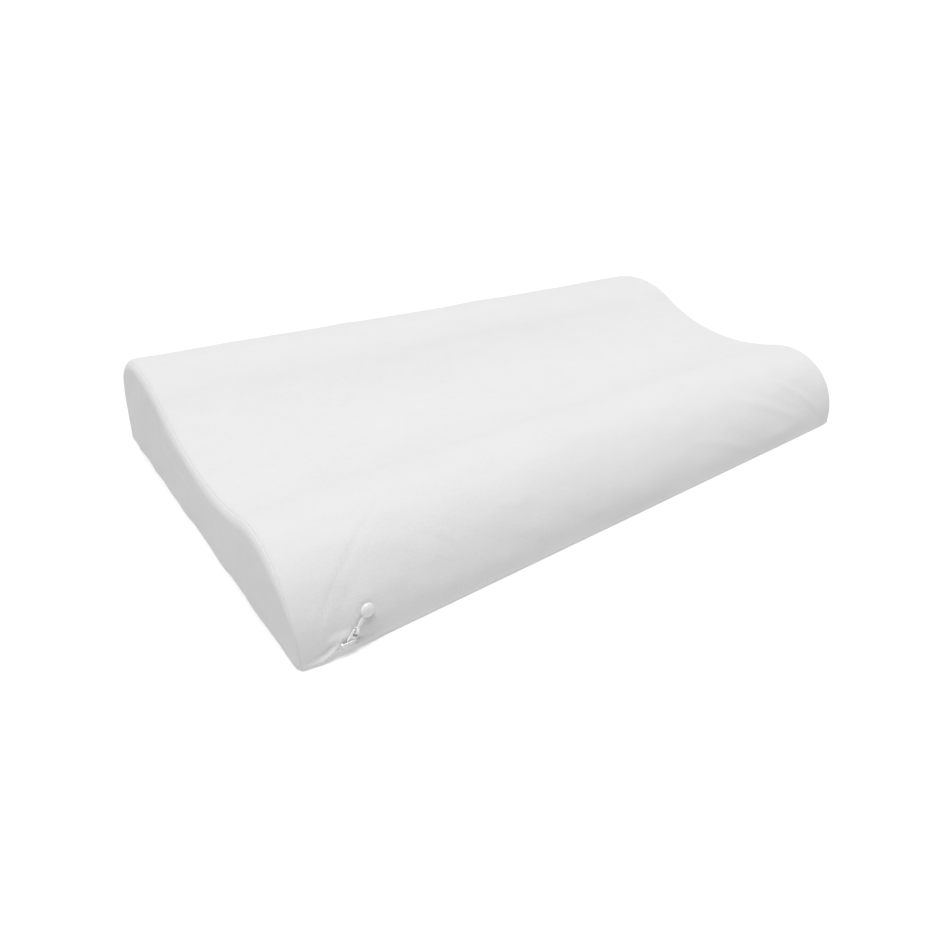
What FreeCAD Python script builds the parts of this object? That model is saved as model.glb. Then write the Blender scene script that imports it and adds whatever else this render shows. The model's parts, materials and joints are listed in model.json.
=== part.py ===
import FreeCAD, Part
import math
import os

import Sketcher
from FreeCAD import Placement, Rotation, Vector

# Contour bed pillow: a moulded memory-foam block with a low front lobe, a valley and a high back lobe,
# in a knitted inner liner and a velour cover whose zip runs along the bottom front edge.
# Frame, in millimetres: X along the pillow, front (low lobe and zip) at -Y, +Z up,
# origin at the middle of the pillow's footprint on the surface that it lies on.

doc = FreeCAD.newDocument("contour_pillow")

# ---------------------------------------------------------------- driving dimensions

DIMENSIONS = [
    # the block: outer faces of the zipped cover
    ("pillow_length", 610),
    ("pillow_depth", 376),
    ("front_height", 69),
    ("valley_height", 58),
    ("back_height", 96),
    ("front_face_radius", 77),
    ("front_lobe_radius", 58),
    ("valley_radius", 205),
    ("back_lobe_radius", 106),
    ("shoulder_radius", 70),
    ("back_face_radius", 200),
    ("back_face_lean", 10),
    ("end_rounding", 9),
    # the layers, from outside to inside
    ("cover_thickness", 1.2),
    ("liner_thickness", 0.8),
    ("layer_gap", 0.2),
    ("end_panel_wrap", 3),
    ("bottom_panel_lip", 4.2),
    # the bevel of the foam's lower front edge, which leaves room for the zip
    ("bevel_foot", 13.6),
    ("bevel_lean", 22.8),
    # the zip
    ("zip_height", 8.5),
    ("zip_setback", 1.5),
    ("zip_tilt", 8),
    ("tape_tilt_offset", 4),
    ("tape_end_margin", 14),
    ("zip_slot_margin", 18),
    ("zip_slot_top", 13.3),
    ("tape_thickness", 0.6),
    ("tape_face_depth", 0.3),
    ("tape_inner_edge", 0.8),
    ("upper_tape_width", 11),
    ("lower_tape_width", 7),
    ("lower_tape_fold", 8),
    ("coil_inner_edge", 0.7),
    ("coil_width", 1.7),
    ("coil_height", 1.9),
    ("stop_length", 2.2),
    ("stop_height", 1.9),
    ("bottom_stop_length", 4),
    ("bottom_stop_margin", 22),
    # the slider, measured from the middle plane of the chain
    ("slider_position", 28.5),
    ("slider_length", 10.4),
    ("slider_width", 8),
    ("slider_corner", 1.5),
    ("inner_plate_low", -2.7),
    ("tape_slot_low", -1.6),
    ("tape_slot_high", 0.0),
    ("outer_plate_low", 2.0),
    ("outer_plate_high", 3.1),
    ("flange_inner_edge", 2.75),
    ("wedge_length", 3.0),
    ("wedge_width", 0.8),
    ("slider_clearance", 0.4),
    ("crown_post_offset", 2.9),
    ("crown_post_radius", 0.9),
    ("crown_bridge_low", 5.0),
    ("crown_bridge_high", 5.9),
    # the pull
    ("pull_angle", 50),
    ("link_width", 5),
    ("link_low", 3.5),
    ("link_high", 4.7),
    ("link_eye_radius", 1.35),
    ("link_root_corner", 2.4),
    ("link_tip_corner", 0.9),
    ("link_bar_distance", 6.8),
    ("link_bar_width", 1.2),
    ("link_window_width", 2.6),
    ("link_window_start", 3.5),
    ("tab_eye_inner_radius", 1.2),
    ("tab_eye_outer_radius", 2.1),
    ("tab_neck_width", 1.6),
    ("tab_thickness", 1.6),
    ("tab_neck_end", 3.4),
    ("tab_stem_start", 4.8),
    ("tab_stem_width", 3.0),
    ("tab_bulb_distance", 14),
    ("tab_bulb_radius", 4.5),
    ("tab_bulb_half_thickness", 2.3),
]

sheet = doc.addObject("Spreadsheet::Sheet", "dims")
for row, (alias, value) in enumerate(DIMENSIONS, start=1):
    sheet.set(f"A{row}", alias)
    sheet.set(f"B{row}", str(value))
    sheet.setAlias(f"B{row}", alias)
doc.recompute()

nodes = []


def dim(alias):
    """The value of one driving dimension."""
    return float(getattr(sheet, alias))


def as_node(obj, label):
    """Mark an object as one finished piece of the pillow."""
    obj.Label = label
    nodes.append(obj)
    return obj


def bind(obj, **expressions):
    """Bind properties of an object to expressions over the sheet."""
    for name, expression in expressions.items():
        obj.setExpression(name, expression)
    return obj


# ---------------------------------------------------------------- helpers for features


def plane_of(body, role):
    """One of a body's own origin planes."""
    return next(f for f in body.Origin.OriginFeatures if f.Role == role)


def new_body(name, placement=None):
    body = doc.addObject("PartDesign::Body", name)
    if placement is not None:
        body.Placement = placement
    return body


def new_sketch(body, name, role, lift=None):
    """A sketch on one of the body's origin planes, lifted off it by an expression."""
    sketch = body.newObject("Sketcher::SketchObject", name)
    sketch.AttachmentSupport = [(plane_of(body, role), "")]
    sketch.MapMode = "FlatFace"
    if lift is not None:
        sketch.setExpression("AttachmentOffset.Base.z", lift)
    return sketch


def constrain(sketch, constraint, expression=None):
    index = sketch.addConstraint(constraint)
    if expression is not None:
        sketch.setExpression(f"Constraints[{index}]", expression)
    return index


def add_rectangle(sketch, x_low, x_high, y_low, y_high):
    """A rectangle whose four sides lie at the given expressions."""
    sides = {}
    corners = [Vector(-1, -1, 0), Vector(1, -1, 0), Vector(1, 1, 0), Vector(-1, 1, 0)]
    for i, side in enumerate(("low", "right", "high", "left")):
        sides[side] = sketch.addGeometry(Part.LineSegment(corners[i], corners[(i + 1) % 4]))
    order = list(sides.values())
    for i in range(4):
        constrain(sketch, Sketcher.Constraint("Coincident", order[i], 2, order[(i + 1) % 4], 1))
    constrain(sketch, Sketcher.Constraint("Horizontal", sides["low"]))
    constrain(sketch, Sketcher.Constraint("Horizontal", sides["high"]))
    constrain(sketch, Sketcher.Constraint("Vertical", sides["left"]))
    constrain(sketch, Sketcher.Constraint("Vertical", sides["right"]))
    constrain(sketch, Sketcher.Constraint("DistanceX", -1, 1, sides["low"], 1, -1), x_low)
    constrain(sketch, Sketcher.Constraint("DistanceY", -1, 1, sides["low"], 1, -1), y_low)
    constrain(sketch, Sketcher.Constraint("DistanceX", -1, 1, sides["high"], 1, 1), x_high)
    constrain(sketch, Sketcher.Constraint("DistanceY", -1, 1, sides["high"], 1, 1), y_high)
    return sides


def add_circle(sketch, x, radius):
    """A circle centred on the sketch's horizontal axis at the given expressions."""
    circle = sketch.addGeometry(Part.Circle(Vector(1, 0, 0), Vector(0, 0, 1), 1))
    constrain(sketch, Sketcher.Constraint("DistanceX", -1, 1, circle, 3, 1), x)
    constrain(sketch, Sketcher.Constraint("PointOnObject", circle, 3, -1))
    constrain(sketch, Sketcher.Constraint("Radius", circle, 1), radius)
    return circle


def pad(body, name, sketch, length, symmetric=False):
    feature = body.newObject("PartDesign::Pad", name)
    feature.Profile = sketch
    feature.setExpression("Length", length)
    if symmetric:
        feature.SideType = "Symmetric"
    return feature


def common(name, base, tool):
    """The part of one object that lies inside another."""
    feature = doc.addObject("Part::Common", name)
    feature.Base = base
    feature.Tool = tool
    return feature


def cut(name, base, tool):
    """One object with another taken away from it."""
    feature = doc.addObject("Part::Cut", name)
    feature.Base = base
    feature.Tool = tool
    return feature


def box(name, length, width, height, x, y, z):
    """A box square to the pillow, its sizes and lowest corner bound to expressions."""
    feature = doc.addObject("Part::Box", name)
    bind(feature, Length=length, Width=width, Height=height)
    feature.setExpression("Placement.Base.x", x)
    feature.setExpression("Placement.Base.y", y)
    feature.setExpression("Placement.Base.z", z)
    return feature


# ---------------------------------------------------------------- the contour and its layers


def contour_start():
    """Centres and radii that the outline's six arcs start from, front to back, as (y, z, radius).

    Each arc touches the next. The front face stands upright on the floor, and the back face
    leans out towards its foot.
    """
    half_depth = dim("pillow_depth") / 2
    face, lobe = dim("front_face_radius"), dim("front_lobe_radius")
    valley, back = dim("valley_radius"), dim("back_lobe_radius")
    shoulder, back_face = dim("shoulder_radius"), dim("back_face_radius")
    lean = math.radians(dim("back_face_lean"))
    c1 = (face - half_depth, 0.0)
    z2 = dim("front_height") - lobe
    c2 = (c1[0] - math.sqrt((face - lobe) ** 2 - z2**2), z2)
    z3 = dim("valley_height") + valley
    c3 = (c2[0] + math.sqrt((lobe + valley) ** 2 - (z3 - z2) ** 2), z3)
    z4 = dim("back_height") - back
    c4 = (c3[0] + math.sqrt((valley + back) ** 2 - (z3 - z4) ** 2), z4)
    c6 = (half_depth - back_face * math.cos(lean), -back_face * math.sin(lean))
    # the shoulder's circle touches the back lobe's and the back face's from inside
    to_back, to_face = back - shoulder, back_face - shoulder
    span = math.dist(c4, c6)
    along = (to_back**2 - to_face**2 + span**2) / (2 * span)
    across = math.sqrt(to_back**2 - along**2)
    unit = ((c6[0] - c4[0]) / span, (c6[1] - c4[1]) / span)
    c5 = (c4[0] + along * unit[0] - across * unit[1], c4[1] + along * unit[1] + across * unit[0])
    if c5[1] < c4[1]:
        c5 = (c4[0] + along * unit[0] + across * unit[1], c4[1] + along * unit[1] - across * unit[0])
    radii = (face, lobe, valley, back, shoulder, back_face)
    return [(*centre, radius) for centre, radius in zip((c1, c2, c3, c4, c5, c6), radii)]


def touch_point(first, second):
    """Where two touching circles meet: on the line through their centres."""
    (y1, z1, r1), (y2, z2, r2) = first, second
    gap = math.dist((y1, z1), (y2, z2))
    crossing = abs(r1 + r2 - gap) < abs(abs(r1 - r2) - gap)
    sign = 1 if crossing or r1 > r2 else -1
    return (y1 + sign * r1 * (y2 - y1) / gap, z1 + sign * r1 * (z2 - z1) / gap)


def arc_between(circle, start, end):
    """A sketch arc on a circle, running anticlockwise from start to end."""
    y, z, radius = circle
    angle_a = math.atan2(start[1] - z, start[0] - y)
    angle_b = math.atan2(end[1] - z, end[0] - y)
    return Part.ArcOfCircle(Part.Circle(Vector(y, z, 0), Vector(0, 0, 1), radius), angle_a, angle_b)


def contour_sketch(body, inset):
    """The pillow's end outline, a distance inside the cover's outer face."""
    sketch = new_sketch(body, body.Name + "_contour", "YZ_Plane")
    circles = contour_start()
    half_depth = dim("pillow_depth") / 2
    points = [(-half_depth, 0)]
    points += [touch_point(circles[i], circles[i + 1]) for i in range(5)]
    points += [(half_depth, 0)]
    valley_index = 2
    arcs = []
    for i, circle in enumerate(circles):
        ends = (points[i], points[i + 1]) if i == valley_index else (points[i + 1], points[i])
        arcs.append(sketch.addGeometry(arc_between(circle, *ends)))
    front_foot, back_foot = Vector(-half_depth, 0, 0), Vector(half_depth, 0, 0)
    base = sketch.addGeometry(Part.LineSegment(front_foot, back_foot))

    # an arc's vertex nearer the front, and the one nearer the back
    def front_end(i):
        return 1 if i == valley_index else 2

    def back_end(i):
        return 2 if i == valley_index else 1

    for i in range(5):
        joint = Sketcher.Constraint("Tangent", arcs[i], back_end(i), arcs[i + 1], front_end(i + 1))
        constrain(sketch, joint)
    constrain(sketch, Sketcher.Constraint("Coincident", base, 1, arcs[0], front_end(0)))
    constrain(sketch, Sketcher.Constraint("Coincident", base, 2, arcs[5], back_end(5)))
    constrain(sketch, Sketcher.Constraint("Horizontal", base))
    constrain(sketch, Sketcher.Constraint("DistanceY", -1, 1, base, 1, 0), inset)

    names = ["front_face", "front_lobe", "valley", "back_lobe", "shoulder", "back_face"]
    for i, name in enumerate(names):
        sign = "+" if i == valley_index else "-"
        radius = f"dims.{name}_radius {sign} ({inset})"
        constrain(sketch, Sketcher.Constraint("Radius", arcs[i], circles[i][2]), radius)

    def place_centre(i, direction, expression):
        value = circles[i][0] if direction == "DistanceX" else circles[i][1]
        constrain(sketch, Sketcher.Constraint(direction, -1, 1, arcs[i], 3, value), expression)

    place_centre(0, "DistanceX", "dims.front_face_radius - dims.pillow_depth / 2")
    constrain(sketch, Sketcher.Constraint("PointOnObject", arcs[0], 3, -1))
    place_centre(1, "DistanceY", "dims.front_height - dims.front_lobe_radius")
    place_centre(2, "DistanceY", "dims.valley_height + dims.valley_radius")
    place_centre(3, "DistanceY", "dims.back_height - dims.back_lobe_radius")
    foot = "dims.back_face_radius * cos(dims.back_face_lean * 1deg)"
    place_centre(5, "DistanceX", f"dims.pillow_depth / 2 - {foot}")
    place_centre(5, "DistanceY", "-dims.back_face_radius * sin(dims.back_face_lean * 1deg)")
    return sketch


def layer_body(name, inset):
    """The filled pillow shape a distance inside the cover's outer face, with soft end edges."""
    body = new_body(name)
    sketch = contour_sketch(body, inset)
    block = pad(body, name + "_block", sketch, f"dims.pillow_length - 2 * ({inset})", symmetric=True)
    doc.recompute()
    end_edges = []
    for index, edge in enumerate(block.Shape.Edges, start=1):
        lies_in_an_end = edge.BoundBox.XLength < 1e-6
        if lies_in_an_end and edge.Curve.TypeId == "Part::GeomCircle":
            end_edges.append(f"Edge{index}")
    rounding = body.newObject("PartDesign::Fillet", name + "_rounding")
    rounding.Base = (block, end_edges)
    rounding.setExpression("Radius", f"dims.end_rounding - ({inset})")
    body.Tip = rounding
    doc.recompute()
    return body


LINER_OUTSIDE = "dims.cover_thickness + dims.layer_gap"
LINER_INSIDE = f"{LINER_OUTSIDE} + dims.liner_thickness"
FOAM_OUTSIDE = f"{LINER_INSIDE} + dims.layer_gap"

cover_outside = layer_body("cover_outside", "0")
cover_inside = layer_body("cover_inside", "dims.cover_thickness")
liner_outside = layer_body("liner_outside", LINER_OUTSIDE)
liner_inside = layer_body("liner_inside", LINER_INSIDE)
foam_block = layer_body("foam_block", FOAM_OUTSIDE)


# ---------------------------------------------------------------- foam core and inner liner

BEVEL_TOOL_SIZE = 60


def bevel_tool(name, depth):
    """A box outside the bevel plane, the plane moved into the foam by a depth."""
    tool = doc.addObject("Part::Box", name)
    tool.setExpression("Length", "dims.pillow_length")
    tool.Width = BEVEL_TOOL_SIZE
    tool.Height = BEVEL_TOOL_SIZE
    lean = Rotation(Vector(1, 0, 0), dim("bevel_lean"))
    foot = Vector(-dim("pillow_length") / 2, dim("bevel_foot") - dim("pillow_depth") / 2, 0)
    corner = Vector(0, depth - BEVEL_TOOL_SIZE, -BEVEL_TOOL_SIZE / 2)
    tool.Placement = Placement(foot + lean.multVec(corner), lean)
    return tool


liner_depth = dim("liner_thickness")
foam_depth = liner_depth + dim("layer_gap")
liner_skin = cut("liner_skin", liner_outside, bevel_tool("liner_outside_bevel", 0))
liner_space = cut("liner_space", liner_inside, bevel_tool("liner_inside_bevel", liner_depth))
as_node(cut("liner_shell", liner_skin, liner_space), "inner_liner")
as_node(cut("foam_moulding", foam_block, bevel_tool("foam_bevel", foam_depth)), "foam_core")


# ---------------------------------------------------------------- cover panels

OVERSIZE = "10"
LENGTH_LEFT = "-dims.pillow_length / 2"
FRONT_FACE = "-dims.pillow_depth / 2"

cover_shell = cut("cover_shell", cover_outside, cover_inside)

floor_slice = box(
    "floor_slice",
    f"dims.pillow_length + 2 * {OVERSIZE}",
    f"dims.pillow_depth + 2 * {OVERSIZE}",
    f"dims.bottom_panel_lip + {OVERSIZE}",
    f"{LENGTH_LEFT} - {OVERSIZE}",
    f"{FRONT_FACE} - {OVERSIZE}",
    f"-{OVERSIZE}",
)
as_node(common("cover_bottom", cover_shell, floor_slice), "cover_bottom_panel")

upper_shell = cut("upper_shell", cover_shell, floor_slice)
middle_slice = box(
    "middle_slice",
    "dims.pillow_length - 2 * dims.end_panel_wrap",
    f"dims.pillow_depth + 2 * {OVERSIZE}",
    f"dims.back_height + {OVERSIZE}",
    f"{LENGTH_LEFT} + dims.end_panel_wrap",
    f"{FRONT_FACE} - {OVERSIZE}",
    "0",
)
zip_slot = box(
    "zip_slot",
    "dims.pillow_length - 2 * dims.zip_slot_margin",
    f"2 * {OVERSIZE}",
    "dims.zip_slot_top",
    f"{LENGTH_LEFT} + dims.zip_slot_margin",
    f"{FRONT_FACE} - {OVERSIZE}",
    "0",
)
top_shell = common("top_shell", upper_shell, middle_slice)
as_node(cut("cover_top", top_shell, zip_slot), "cover_top_panel")

for side, start in (
    ("left", f"{LENGTH_LEFT} - {OVERSIZE}"),
    ("right", "dims.pillow_length / 2 - dims.end_panel_wrap"),
):
    end_slice = box(
        f"{side}_end_slice",
        f"dims.end_panel_wrap + {OVERSIZE}",
        f"dims.pillow_depth + 2 * {OVERSIZE}",
        f"dims.back_height + {OVERSIZE}",
        start,
        f"{FRONT_FACE} - {OVERSIZE}",
        "0",
    )
    as_node(common(f"cover_{side}_end", upper_shell, end_slice), f"cover_{side}_end_panel")


# ---------------------------------------------------------------- zip chain

# The zip's own frame: x along the chain, y up the front face, z out of the face, and its origin
# on the chain's middle plane at the pillow's middle.


def zip_frame(tilt_offset=0.0):
    """The zip's frame, leaning back by its tilt and a further offset."""
    origin = Vector(0, dim("zip_setback") - dim("pillow_depth") / 2, dim("zip_height"))
    return Placement(origin, Rotation(Vector(1, 0, 0), 90 - dim("zip_tilt") - tilt_offset))


def strip(name, frame, x_low, x_high, y_low, y_high, z_low, z_high):
    """A straight bar in a frame, its six faces at the given expressions."""
    body = new_body(name, frame)
    sketch = new_sketch(body, name + "_plan", "XY_Plane", z_low)
    add_rectangle(sketch, x_low, x_high, y_low, y_high)
    pad(body, name + "_bar", sketch, f"({z_high}) - ({z_low})")
    return body


TAPE_LEFT = "dims.tape_end_margin - dims.pillow_length / 2"
TAPE_RIGHT = "dims.pillow_length / 2 - dims.tape_end_margin"
TAPE_BACK = "-dims.tape_face_depth - dims.tape_thickness"
TAPE_FACE = "-dims.tape_face_depth"
SLIDER_LEFT = "dims.slider_position - dims.pillow_length / 2 - dims.slider_length / 2"
STOP_RIGHT = f"{SLIDER_LEFT} - dims.slider_clearance"
COIL_RIGHT = "dims.pillow_length / 2 - dims.bottom_stop_margin - dims.bottom_stop_length"
COIL_OUTER_EDGE = "dims.coil_inner_edge + dims.coil_width"
STOP_OUTER_EDGE = "dims.coil_inner_edge + dims.coil_width + 0.5"

upper_tape = strip(
    "upper_tape",
    zip_frame(dim("tape_tilt_offset")),
    TAPE_LEFT,
    TAPE_RIGHT,
    "dims.tape_inner_edge",
    "dims.tape_inner_edge + dims.upper_tape_width",
    TAPE_BACK,
    TAPE_FACE,
)
as_node(upper_tape, "zip_tape_upper")

# the lower tape hangs behind the bottom panel's lip and is folded back over that panel
hanging_tape = strip(
    "hanging_tape",
    zip_frame(-dim("tape_tilt_offset")),
    TAPE_LEFT,
    TAPE_RIGHT,
    "-dims.lower_tape_width",
    "-dims.tape_inner_edge",
    TAPE_BACK,
    TAPE_FACE,
)
folded_tape = box(
    "folded_tape",
    "dims.pillow_length - 2 * dims.tape_end_margin",
    "dims.lower_tape_fold",
    "dims.tape_thickness",
    f"{LENGTH_LEFT} + dims.tape_end_margin",
    f"{FRONT_FACE} + dims.cover_thickness + dims.tape_face_depth",
    "dims.cover_thickness + dims.layer_gap",
)
lower_tape = doc.addObject("Part::Fuse", "lower_tape")
lower_tape.Base = hanging_tape
lower_tape.Tool = folded_tape
lower_tape.Refine = True
as_node(lower_tape, "zip_tape_lower")

# each coil keeps to its own side of the path of the slider's wedge
for side, low, high in (
    ("upper", "dims.coil_inner_edge", COIL_OUTER_EDGE),
    ("lower", f"-({COIL_OUTER_EDGE})", "-dims.coil_inner_edge"),
):
    coil = strip(
        f"{side}_coil",
        zip_frame(),
        STOP_RIGHT,
        COIL_RIGHT,
        low,
        high,
        TAPE_FACE,
        f"{TAPE_FACE} + dims.coil_height",
    )
    as_node(coil, f"zip_coil_{side}")

top_stops = doc.addObject("Part::Compound", "top_stops")
top_stops.Links = [
    strip(
        f"{side}_stop",
        zip_frame(),
        f"{STOP_RIGHT} - dims.stop_length",
        STOP_RIGHT,
        low,
        high,
        TAPE_FACE,
        f"{TAPE_FACE} + dims.stop_height",
    )
    for side, low, high in (
        ("upper", "dims.coil_inner_edge", STOP_OUTER_EDGE),
        ("lower", f"-({STOP_OUTER_EDGE})", "-dims.coil_inner_edge"),
    )
]
as_node(top_stops, "zip_top_stops")

bottom_stop = strip(
    "bottom_stop",
    zip_frame(),
    COIL_RIGHT,
    f"{COIL_RIGHT} + dims.bottom_stop_length",
    f"-({STOP_OUTER_EDGE})",
    STOP_OUTER_EDGE,
    TAPE_FACE,
    f"{TAPE_FACE} + dims.stop_height",
)
as_node(bottom_stop, "zip_bottom_stop")


# ---------------------------------------------------------------- slider

HALF_LENGTH = "dims.slider_length / 2"
HALF_WIDTH = "dims.slider_width / 2"


def slider_frame():
    """The zip's frame moved along the chain to the slider's middle, with the zip closed."""
    along = dim("slider_position") - dim("pillow_length") / 2
    return zip_frame().multiply(Placement(Vector(along, 0, 0), Rotation()))


slider = new_body("slider", slider_frame())


def slider_layer(name, z_low, z_high, outline):
    """One level of the slider, padded outwards from z_low to z_high."""
    sketch = new_sketch(slider, name + "_plan", "XY_Plane", z_low)
    outline(sketch)
    feature = pad(slider, name, sketch, f"({z_high}) - ({z_low})")
    doc.recompute()
    return feature


def plate_outline(sketch):
    """A plate's outline with its four corners rounded."""
    sides = add_rectangle(sketch, f"-{HALF_LENGTH}", HALF_LENGTH, f"-{HALF_WIDTH}", HALF_WIDTH)
    order = ["low", "right", "high", "left"]
    doc.recompute()
    for i in range(4):
        first, second = sides[order[i]], sides[order[(i + 1) % 4]]
        arc = sketch.GeometryCount
        sketch.fillet(first, second, *corner_sides(sketch, first, second), dim("slider_corner"))
        constrain(
            sketch,
            Sketcher.Constraint("Radius", arc, dim("slider_corner")),
            "dims.slider_corner",
        )


def corner_sides(sketch, first, second):
    """A point on each of two lines, to say which side of their corner is rounded."""
    middles = []
    for index in (first, second):
        line = sketch.Geometry[index]
        middles.append((line.StartPoint + line.EndPoint) * 0.5)
    return middles


def flange_outline(sketch):
    """The two side walls that keep the coils together."""
    reach = "dims.slider_length / 2 - dims.slider_corner"
    add_rectangle(sketch, f"-({reach})", reach, "dims.flange_inner_edge", HALF_WIDTH)
    add_rectangle(sketch, f"-({reach})", reach, f"-{HALF_WIDTH}", "-dims.flange_inner_edge")


def wedge_outline(sketch):
    """The wedge that joins the two plates at the slider's leading end."""
    lead = f"0.3 - {HALF_LENGTH}"
    half = "dims.wedge_width / 2"
    add_rectangle(sketch, lead, f"{lead} + dims.wedge_length", f"-{half}", half)


def post_outline(sketch):
    add_circle(sketch, "-dims.crown_post_offset", "dims.crown_post_radius")
    add_circle(sketch, "dims.crown_post_offset", "dims.crown_post_radius")


def bridge_outline(sketch):
    reach = "dims.crown_post_offset + dims.crown_post_radius"
    half = "dims.crown_post_radius"
    add_rectangle(sketch, f"-({reach})", reach, f"-{half}", half)


slider_layer("inner_plate", "dims.inner_plate_low", "dims.tape_slot_low", plate_outline)
slider_layer("wedge", "dims.tape_slot_low", "dims.outer_plate_low", wedge_outline)
slider_layer("outer_plate", "dims.outer_plate_low", "dims.outer_plate_high", plate_outline)
slider_layer("flanges", "dims.tape_slot_high", "dims.outer_plate_low", flange_outline)
slider_layer("crown_posts", "dims.outer_plate_high", "dims.crown_bridge_low", post_outline)
slider_layer("crown_bridge", "dims.crown_bridge_low", "dims.crown_bridge_high", bridge_outline)
as_node(slider, "zip_slider")


# ---------------------------------------------------------------- pull link and pull tab


def pull_frame(distance):
    """A frame on the pull's line, x along the pull, a distance from the crown's rear post."""
    height = (dim("link_low") + dim("link_high")) / 2
    at_post = Placement(Vector(dim("crown_post_offset"), 0, height), Rotation())
    turned = Placement(Vector(), Rotation(Vector(0, 0, 1), dim("pull_angle")))
    along = Placement(Vector(distance, 0, 0), Rotation())
    return slider_frame().multiply(at_post).multiply(turned).multiply(along)


link = new_body("link", pull_frame(0))
link_sketch = new_sketch(link, "link_plan", "XY_Plane")
half_link = "dims.link_width / 2"
link_end = "dims.link_bar_distance + dims.link_bar_width / 2"
link_sides = add_rectangle(link_sketch, f"-{half_link}", link_end, f"-{half_link}", half_link)
doc.recompute()
LINK_CORNERS = (
    ("left", "low", "link_root_corner"),
    ("high", "left", "link_root_corner"),
    ("low", "right", "link_tip_corner"),
    ("right", "high", "link_tip_corner"),
)
for first_side, second_side, corner in LINK_CORNERS:
    first, second = link_sides[first_side], link_sides[second_side]
    arc = link_sketch.GeometryCount
    link_sketch.fillet(first, second, *corner_sides(link_sketch, first, second), dim(corner))
    constrain(link_sketch, Sketcher.Constraint("Radius", arc, dim(corner)), f"dims.{corner}")
add_circle(link_sketch, "0", "dims.link_eye_radius")
half_window = "dims.link_window_width / 2"
window_end = "dims.link_bar_distance - dims.link_bar_width / 2"
add_rectangle(link_sketch, "dims.link_window_start", window_end, f"-{half_window}", half_window)
pad(link, "link_plate", link_sketch, "dims.link_high - dims.link_low", symmetric=True)
as_node(link, "pull_link")

tab = new_body("tab", pull_frame(dim("link_bar_distance")))
eye_sketch = new_sketch(tab, "eye_plan", "XZ_Plane")
add_circle(eye_sketch, "0", "dims.tab_eye_outer_radius")
add_circle(eye_sketch, "0", "dims.tab_eye_inner_radius")
pad(tab, "eye", eye_sketch, "dims.tab_neck_width", symmetric=True)
doc.recompute()

# the stem: a narrow neck that turns inside the link's window, then the wider grip
stem_sketch = new_sketch(tab, "stem_plan", "XY_Plane")
half_neck, half_stem = "dims.tab_neck_width / 2", "dims.tab_stem_width / 2"
stem_root = "(dims.tab_eye_inner_radius + dims.tab_eye_outer_radius) / 2"
STEM_OUTLINE = (
    (stem_root, f"-{half_neck}"),
    ("dims.tab_neck_end", f"-{half_neck}"),
    ("dims.tab_stem_start", f"-{half_stem}"),
    ("dims.tab_bulb_distance", f"-{half_stem}"),
    ("dims.tab_bulb_distance", half_stem),
    ("dims.tab_stem_start", half_stem),
    ("dims.tab_neck_end", half_neck),
    (stem_root, half_neck),
)
stem_corners = []
for x, y in STEM_OUTLINE:
    along, across = (float(stem_sketch.evalExpression(value)) for value in (x, y))
    stem_corners.append(Vector(along, across, 0))
stem_lines = []
for i, corner in enumerate(stem_corners):
    following = stem_corners[(i + 1) % len(stem_corners)]
    stem_lines.append(stem_sketch.addGeometry(Part.LineSegment(corner, following)))
for i, line in enumerate(stem_lines):
    following = stem_lines[(i + 1) % len(stem_lines)]
    constrain(stem_sketch, Sketcher.Constraint("Coincident", line, 2, following, 1))
for line, corner, (x, y) in zip(stem_lines, stem_corners, STEM_OUTLINE):
    constrain(stem_sketch, Sketcher.Constraint("DistanceX", -1, 1, line, 1, corner.x), x)
    constrain(stem_sketch, Sketcher.Constraint("DistanceY", -1, 1, line, 1, corner.y), y)
pad(tab, "stem", stem_sketch, "dims.tab_thickness", symmetric=True)
doc.recompute()

bulb = tab.newObject("PartDesign::AdditiveEllipsoid", "bulb")
bulb.AttachmentSupport = [(plane_of(tab, "XY_Plane"), "")]
bulb.MapMode = "FlatFace"
bulb.setExpression("AttachmentOffset.Base.x", "dims.tab_bulb_distance")
bind(
    bulb,
    Radius1="dims.tab_bulb_half_thickness",
    Radius2="dims.tab_bulb_radius",
    Radius3="dims.tab_bulb_radius",
)
as_node(tab, "pull_tab")

# ---------------------------------------------------------------- checks and export

doc.recompute()
for obj in doc.Objects:
    if "Invalid" in obj.State or "Error" in obj.State:
        raise RuntimeError(f"{obj.Label} did not recompute: {obj.State}")
for node in nodes:
    if node.Shape.isNull() or not node.Shape.isValid():
        raise RuntimeError(f"{node.Label} has no valid shape")

os.makedirs("parts", exist_ok=True)
for node in nodes:
    node.Shape.exportStep(f"parts/{node.Label}.step")
    box_size = node.Shape.BoundBox
    print(
        f"{node.Label}: {len(node.Shape.Solids)} solid(s), {node.Shape.Volume / 1000:.2f} cm3, "
        f"x {box_size.XMin:.2f} to {box_size.XMax:.2f}, "
        f"y {box_size.YMin:.2f} to {box_size.YMax:.2f}, z {box_size.ZMin:.2f} to {box_size.ZMax:.2f}"
    )
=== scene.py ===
import json
import math

import bmesh
import bpy
import numpy as np
from mathutils import Matrix, Vector
from mathutils.kdtree import KDTree


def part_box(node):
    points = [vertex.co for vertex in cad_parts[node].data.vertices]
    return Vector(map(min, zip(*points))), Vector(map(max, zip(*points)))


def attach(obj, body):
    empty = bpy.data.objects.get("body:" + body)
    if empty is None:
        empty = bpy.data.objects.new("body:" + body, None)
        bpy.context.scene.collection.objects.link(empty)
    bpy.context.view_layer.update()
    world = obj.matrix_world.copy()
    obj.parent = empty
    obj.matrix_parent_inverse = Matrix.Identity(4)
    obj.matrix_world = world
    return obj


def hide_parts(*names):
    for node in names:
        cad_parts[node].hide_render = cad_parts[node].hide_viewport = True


# Contour bed pillow: the soft cover with its hidden zip, the liner and foam inside it, and the
# zip's coils, tapes and pull. Shapes are worked out in millimetres in the row frame, and meshes
# are made in metres.

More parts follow.
